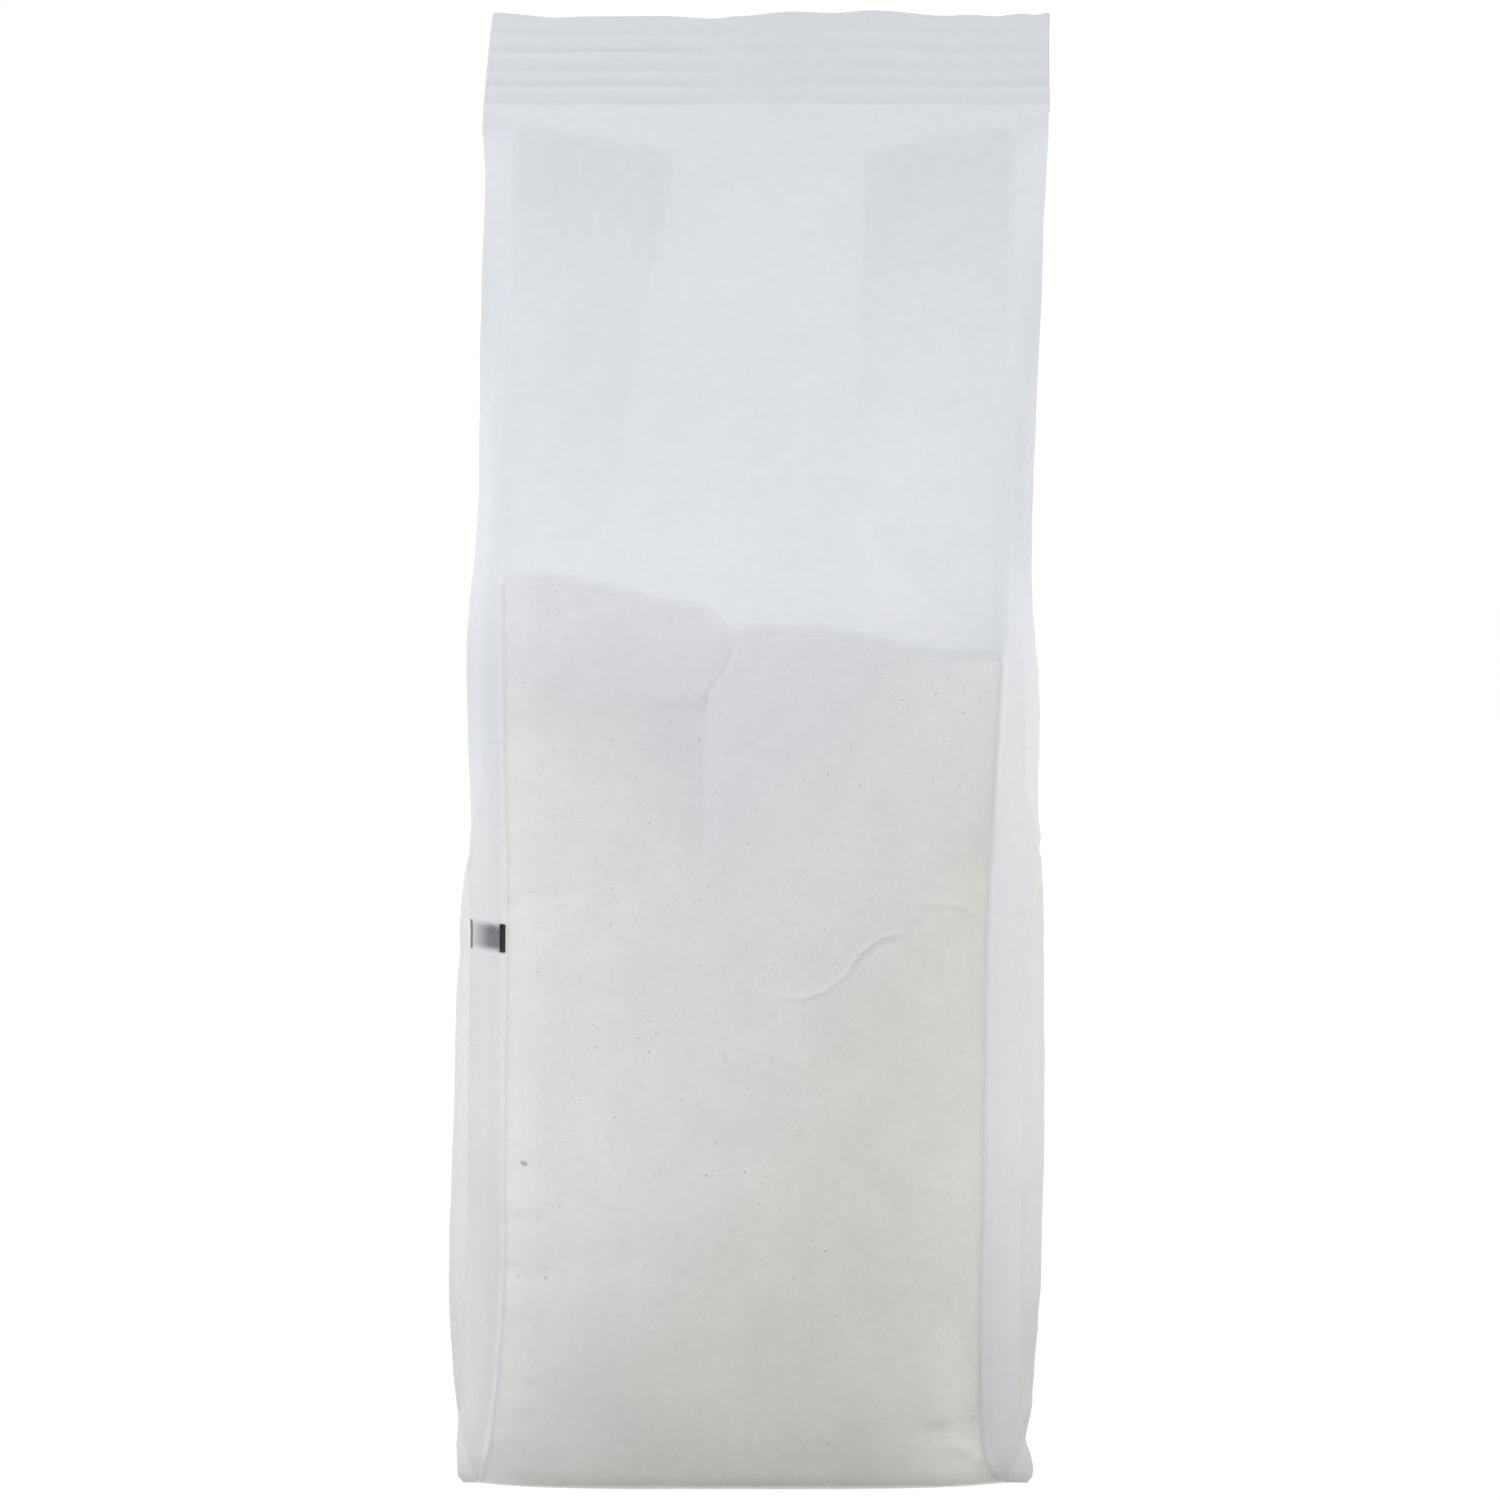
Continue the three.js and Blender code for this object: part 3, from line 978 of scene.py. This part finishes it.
# How dense the ink is, across the fin and up the mark.
def inkAt(t, up):
    strip = band(t, *mark["strip"])
    line = band(t, *mark["line"], mark["lineInk"])
    ends = band(up, *mark["ends"])
    fading, staying = mark["shadeInk"]
    shade = fading * (1 - smoothstep(t, *mark["shadeFades"])) + staying
    shade *= band(up, *mark["shadeEnds"]) * (1 - smoothstep(t, *mark["shadeEdge"]))
    return max(strip * ends, line * ends, shade if t > mark["shadeFrom"] else 0)


def printMark():
    bm = bmesh.new()
    bmesh.ops.create_grid(bm, x_segments=mark["columns"], y_segments=mark["rows"], size=0.5)
    ink = bm.verts.layers.float.new("ink")
    for v in bm.verts:
        t = lerp(mark["outer"], mark["inner"], v.co.x + 0.5)
        up = v.co.y + 0.5
        z = mark["bottom"] + mark["height"] * up + mark["tilt"] * fins["width"] * max(0.0, t)
        x, y = finPoint(gussets["left"], max(0.0, t), z, True, False)[:2]
        x += min(0.0, t) * fins["width"]
        v[ink] = inkAt(t, up)
        v.co = settled(-x, -y - mark["proud"], z)
    bmesh.ops.solidify(bm, geom=bm.faces[:], thickness=mark["thickness"])
    bmesh.ops.recalc_face_normals(bm, faces=bm.faces)
    return finished(bm, "printMark")


markPiece = printMark()
print("print mark: done")

# The lap weld that closes the web of film runs up the rear panel.

lap = {
    "middle": 2.5,
    "width": 5.6,
    "columns": 10,
    "rows": 220,
    "bottom": 1.5,
    "belowTop": 0.2,
    "ripple": (0.25, 30.0, 3.3),
    "proud": (0.08, 0.1),            # at its edges, and how much more in its middle
    "thickness": 0.22,
    "edgeWidth": 0.12,       # share of its width
    "cover": (0.14, 0.06),   # at its edges and in its middle
    "milkAndPaintedLight": 1.0,
}


def rearLap():
    bm = bmesh.new()
    bmesh.ops.create_grid(bm, x_segments=lap["columns"], y_segments=lap["rows"], size=0.5)
    layers = filmLayers(bm)
    for v in bm.verts:
        z = lerp(lap["bottom"], bag["height"] - lap["belowTop"], v.co.y + 0.5)
        x = lap["middle"] + lap["width"] * v.co.x + ripple(lap["ripple"], 0, z)
        inside = smoothstep(0.5 - abs(v.co.x), 0, lap["edgeWidth"])
        low, further = lap["proud"]
        px, py = panelPoint(-x / halfWidthAt(z), z, -low - further * inside, onFront=False)
        cover = lerp(*lap["cover"], inside)
        for layer, value in zip(layers, (cover, cover, 0.0, lap["milkAndPaintedLight"], 1.0, 0.0)):
            v[layer] = value
        v.co = settled(px, py, z)
    bmesh.ops.solidify(bm, geom=bm.faces[:], thickness=-lap["thickness"])
    bmesh.ops.recalc_face_normals(bm, faces=bm.faces)
    for f in bm.faces:
        f.smooth = True
    return finished(bm, "rearLap")


lapPiece = rearLap()
print("rear lap: done")


def newMaterial(name, roughness):
    material = bpy.data.materials.new(name)
    material.use_nodes = True
    shader = material.node_tree.nodes["Principled BSDF"]
    shader.inputs["Roughness"].default_value = roughness
    return material, material.node_tree, shader


def attribute(tree, name):
    node = tree.nodes.new("ShaderNodeAttribute")
    node.attribute_name = name
    return node.outputs["Fac"]


def grain(tree, scale, detail=3.0):
    where = tree.nodes.new("ShaderNodeTexCoord")
    texture = tree.nodes.new("ShaderNodeTexNoise")
    texture.inputs["Scale"].default_value = scale
    texture.inputs["Detail"].default_value = detail
    tree.links.new(where.outputs["Object"], texture.inputs["Vector"])
    return texture.outputs["Fac"]


def mapRange(tree, source, low, high, fromLow=0.0, fromHigh=1.0, kind="LINEAR"):
    node = tree.nodes.new("ShaderNodeMapRange")
    node.interpolation_type = kind
    for socket, value in (("From Min", fromLow), ("From Max", fromHigh), ("To Min", low), ("To Max", high)):
        node.inputs[socket].default_value = value
    tree.links.new(source, node.inputs["Value"])
    return node.outputs["Result"]


def arithmetic(tree, operation, first, second):
    node = tree.nodes.new("ShaderNodeMath")
    node.operation = operation
    for socket, value in zip(node.inputs, (first, second)):
        if isinstance(value, float):
            socket.default_value = value
        else:
            tree.links.new(value, socket)
    return node.outputs["Value"]


def colours(tree, source, stops):
    ramp = tree.nodes.new("ShaderNodeValToRGB")
    elements = ramp.color_ramp.elements
    while len(elements) < len(stops):
        elements.new(0.5)
    for element, (place, colour) in zip(elements, stops):
        element.position = place
        element.color = (*colour, 1)
    tree.links.new(source, ramp.inputs["Fac"])
    return ramp.outputs["Color"]


def mixed(tree, factor, first, second, blend="MIX"):
    node = tree.nodes.new("ShaderNodeMix")
    node.data_type = "RGBA"
    node.blend_type = blend
    if isinstance(factor, float):
        node.inputs["Factor"].default_value = factor
    else:
        tree.links.new(factor, node.inputs["Factor"])
    tree.links.new(first, node.inputs[6])
    tree.links.new(second, node.inputs[7])
    return node.outputs[2]


# A colour made darker or lighter by a tone.
def shaded(tree, colour, tone):
    node = tree.nodes.new("ShaderNodeHueSaturation")
    tree.links.new(tone, node.inputs["Value"])
    tree.links.new(colour, node.inputs["Color"])
    return node.outputs["Color"]


def roughen(tree, shader, source, strength, distance):
    node = tree.nodes.new("ShaderNodeBump")
    node.inputs["Strength"].default_value = strength
    node.inputs["Distance"].default_value = distance
    tree.links.new(source, node.inputs["Height"])
    tree.links.new(node.outputs["Normal"], shader.inputs["Normal"])


# An attribute with some grain added to it.
def grained(tree, name, scale, size):
    return arithmetic(tree, "ADD", attribute(tree, name), mapRange(tree, grain(tree, scale), -size, size))


frostedFilm = {
    # Its colour by how milky it is and by the light painted with that
    "colours": ((0.0, (0.612, 0.634, 0.669)), (0.4, (0.633, 0.654, 0.689)), (0.7, (0.70, 0.720, 0.752)),
                (1.0, (0.760, 0.765, 0.777))),
    "roughness": 0.5,
    "clouds": (60, 0.08),            # the scale of a grain, and how much it changes the milk and painted light
    "patches": (420, 0.95, 1.05),    # and one that the cover is multiplied with, between two shares
    "bumps": (1200, 0.05, 0.0001),   # scale, strength and height
}


# A smooth change between two heights above the flour's edge.
def overEdge(tree, low, high, heights):
    return mapRange(tree, attribute(tree, "aboveEdge"), low, high, *heights, "SMOOTHSTEP")


def filmMaterial():
    material, tree, shader = newMaterial("frostedFilm", frostedFilm["roughness"])
    cloudy = grained(tree, "milkAndPaintedLight", *frostedFilm["clouds"])
    # Just under the flour's edge the film turns clear, and a strip of painted light there lightens it against
    # the shade on the flour.
    strip = arithmetic(tree, "MULTIPLY", overEdge(tree, 0, 1, frosting["paintedLightStarts"]),
                       overEdge(tree, 1, 0, frosting["paintedLightEnds"]))
    paintedLight = arithmetic(tree, "MULTIPLY", strip, attribute(tree, "paintedLight"))
    # The tone holds the painted shade and light, and the strip's painted light is added to it.
    tone = arithmetic(tree, "ADD", attribute(tree, "tone"), paintedLight)
    body = shaded(tree, colours(tree, cloudy, frostedFilm["colours"]), tone)
    tree.links.new(body, shader.inputs["Base Color"])
    scale, low, high = frostedFilm["patches"]
    uneven = mapRange(tree, grain(tree, scale), low, high)
    free = overEdge(tree, 0, 1, frosting["edgeFades"])
    clearing = tree.nodes.new("ShaderNodeMix")
    covers = {0: free, 2: attribute(tree, "coverBeside"), 3: attribute(tree, "coverAbove")}
    for socket, source in covers.items():
        tree.links.new(source, clearing.inputs[socket])
    cover = arithmetic(tree, "MULTIPLY", clearing.outputs[0], uneven)
    tree.links.new(cover, shader.inputs["Alpha"])
    scale, strength, height = frostedFilm["bumps"]
    roughen(tree, shader, grain(tree, scale), strength, height)
    return material


riceFlour = {
    "packed": (0.742, 0.742, 0.728),
    "packedWarmAndShaded": (0.721, 0.724, 0.67),
    "loose": ((0.3, (0.72693, 0.70723, 0.727915)), (0.7, (0.738, 0.718, 0.739))),
    "looseScale": 150,
    "clumps": ((0.35, (0.965, 0.965, 0.96)), (0.6, (1.0, 1.0, 1.0))),
    "clumpScale": 700,
    "roughness": 0.9,
    "bumps": (1500, 0.25, 0.0003),   # scale, strength and height
    "detail": 5.0,
}


def flourMaterial():
    material, tree, shader = newMaterial("riceFlour", riceFlour["roughness"])
    detail = riceFlour["detail"]
    # Packed flour turns warmer and a little darker past the slanting line, and the darkening is painted
    # shade.
    packed = colours(tree, attribute(tree, "warmAndShaded"),
                     ((0.0, riceFlour["packed"]), (1.0, riceFlour["packedWarmAndShaded"])))
    loose = colours(tree, grain(tree, riceFlour["looseScale"]), riceFlour["loose"])
    body = mixed(tree, attribute(tree, "touch"), loose, packed)
    clumps = colours(tree, grain(tree, riceFlour["clumpScale"], detail), riceFlour["clumps"])
    body = mixed(tree, 1.0, body, clumps, "MULTIPLY")
    # The tone paints light and shade onto the flour.
    body = shaded(tree, body, attribute(tree, "tone"))
    tree.links.new(body, shader.inputs["Base Color"])
    scale, strength, height = riceFlour["bumps"]
    roughen(tree, shader, grain(tree, scale, detail), strength, height)
    return material


def branMaterial():
    material, tree, shader = newMaterial("bran", bran["roughness"])
    tone = grained(tree, "tone", *bran["grain"])
    tree.links.new(colours(tree, tone, bran["colours"]), shader.inputs["Base Color"])
    return material


def inkMaterial():
    material, tree, shader = newMaterial("blackPrint", mark["roughness"])
    dense = grained(tree, "ink", *mark["grain"])
    tree.links.new(colours(tree, dense, mark["colours"]), shader.inputs["Base Color"])
    # The print is seen through both faces of its thin layer, so each hides less than the whole.
    seen = arithmetic(tree, "SUBTRACT", 1.0, attribute(tree, "ink"))
    each = arithmetic(tree, "SUBTRACT", 1.0, arithmetic(tree, "POWER", seen, 0.5))
    tree.links.new(each, shader.inputs["Alpha"])
    return material


filmLook = filmMaterial()
finishes = ((filmPiece, filmLook, "film"), (lapPiece, filmLook, "film"),
            (flourPiece, flourMaterial(), "flour"), (speckPiece, branMaterial(), "flour"),
            (markPiece, inkMaterial(), "ink"))
for piece, look, slot in finishes:
    piece.data.materials.append(look)
    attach(piece, "root")
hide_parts("bag")
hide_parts("bag")

# Floor, light and camera

view = {"pixels": 1500, "mmPerPixel": 0.1654, "distance": 1000.0, "height": 118.2, "sensor": 36.0}
sky = {"below": 0.22, "level": 1.0, "above": 1.15}
shadeBoard = {"size": 0.08, "height": -0.001, "grey": 0.6}   # under the foot, unseen by the camera
floorLook = {"size": 60, "grey": 0.4, "glow": 0.64, "roughness": 0.9}
lamps = {
    "key": {"place": (-0.45, -0.5, 0.5), "aim": (0, 0, 0.12), "size": 0.5, "power": 2.2},
    "leftSide": {"place": (-0.6, 0.05, 0.2), "aim": (0, 0, 0.1), "size": 0.6, "power": 0.75},
    "rightSide": {"place": (0.6, 0.05, 0.2), "aim": (0, 0, 0.1), "size": 0.6, "power": 1.6},
}


def stagePlane(name, size, height, grey, glow=0.0):
    bm = bmesh.new()
    bmesh.ops.create_grid(bm, x_segments=1, y_segments=1, size=size)
    bmesh.ops.translate(bm, vec=(0, 0, height), verts=bm.verts)
    plane = asObject(bm, name)
    material, tree, shader = newMaterial(name, floorLook["roughness"])
    shader.inputs["Base Color"].default_value = (grey, grey, grey, 1)
    shader.inputs["Emission Color"].default_value = (1, 1, 1, 1)
    shader.inputs["Emission Strength"].default_value = glow
    plane.data.materials.append(material)
    plane.visible_glossy = False
    return plane


floor = stagePlane("floor", floorLook["size"], 0, floorLook["grey"], floorLook["glow"])
floor.visible_diffuse = False
board = stagePlane("shadeBoard", shadeBoard["size"], shadeBoard["height"], shadeBoard["grey"])
board.visible_camera = False

world = bpy.data.worlds.new("studio")
bpy.context.scene.world = world
world.use_nodes = True
tree = world.node_tree
where = tree.nodes.new("ShaderNodeTexCoord")
split = tree.nodes.new("ShaderNodeSeparateXYZ")
tree.links.new(where.outputs["Generated"], split.inputs["Vector"])
up = mapRange(tree, split.outputs["Z"], 0, 1, -1)
stops = [(place, (level,) * 3) for place, level in
         ((0.0, sky["below"]), (0.5, sky["level"]), (1.0, sky["above"]))]
tree.links.new(colours(tree, up, stops), tree.nodes["Background"].inputs["Color"])

for name, lamp in lamps.items():
    data = bpy.data.lights.new(name, "AREA")
    data.size = lamp["size"]
    data.energy = lamp["power"]
    softbox = bpy.data.objects.new(name, data)
    softbox.location = lamp["place"]
    way = Vector(lamp["aim"]) - Vector(lamp["place"])
    softbox.rotation_euler = way.to_track_quat("-Z", "Y").to_euler()
    bpy.context.scene.collection.objects.link(softbox)

camera = bpy.data.cameras.new("camera")
camera.sensor_width = view["sensor"]
camera.lens = view["sensor"] * view["distance"] / (view["pixels"] * view["mmPerPixel"])
camera.clip_end = 100
eye = bpy.data.objects.new("camera", camera)
eye.location = (shiftX * metres, -view["distance"] * metres, view["height"] * metres)
eye.rotation_euler = (math.pi / 2, 0, 0)
bpy.context.scene.collection.objects.link(eye)
bpy.context.scene.camera = eye

scene = bpy.context.scene
scene.view_settings.view_transform = "Standard"
scene.cycles.transparent_max_bounces = 32
scene.cycles.use_denoising = True
scene.cycles.denoising_input_passes = "RGB_ALBEDO"
print("stage: floor, light and camera")
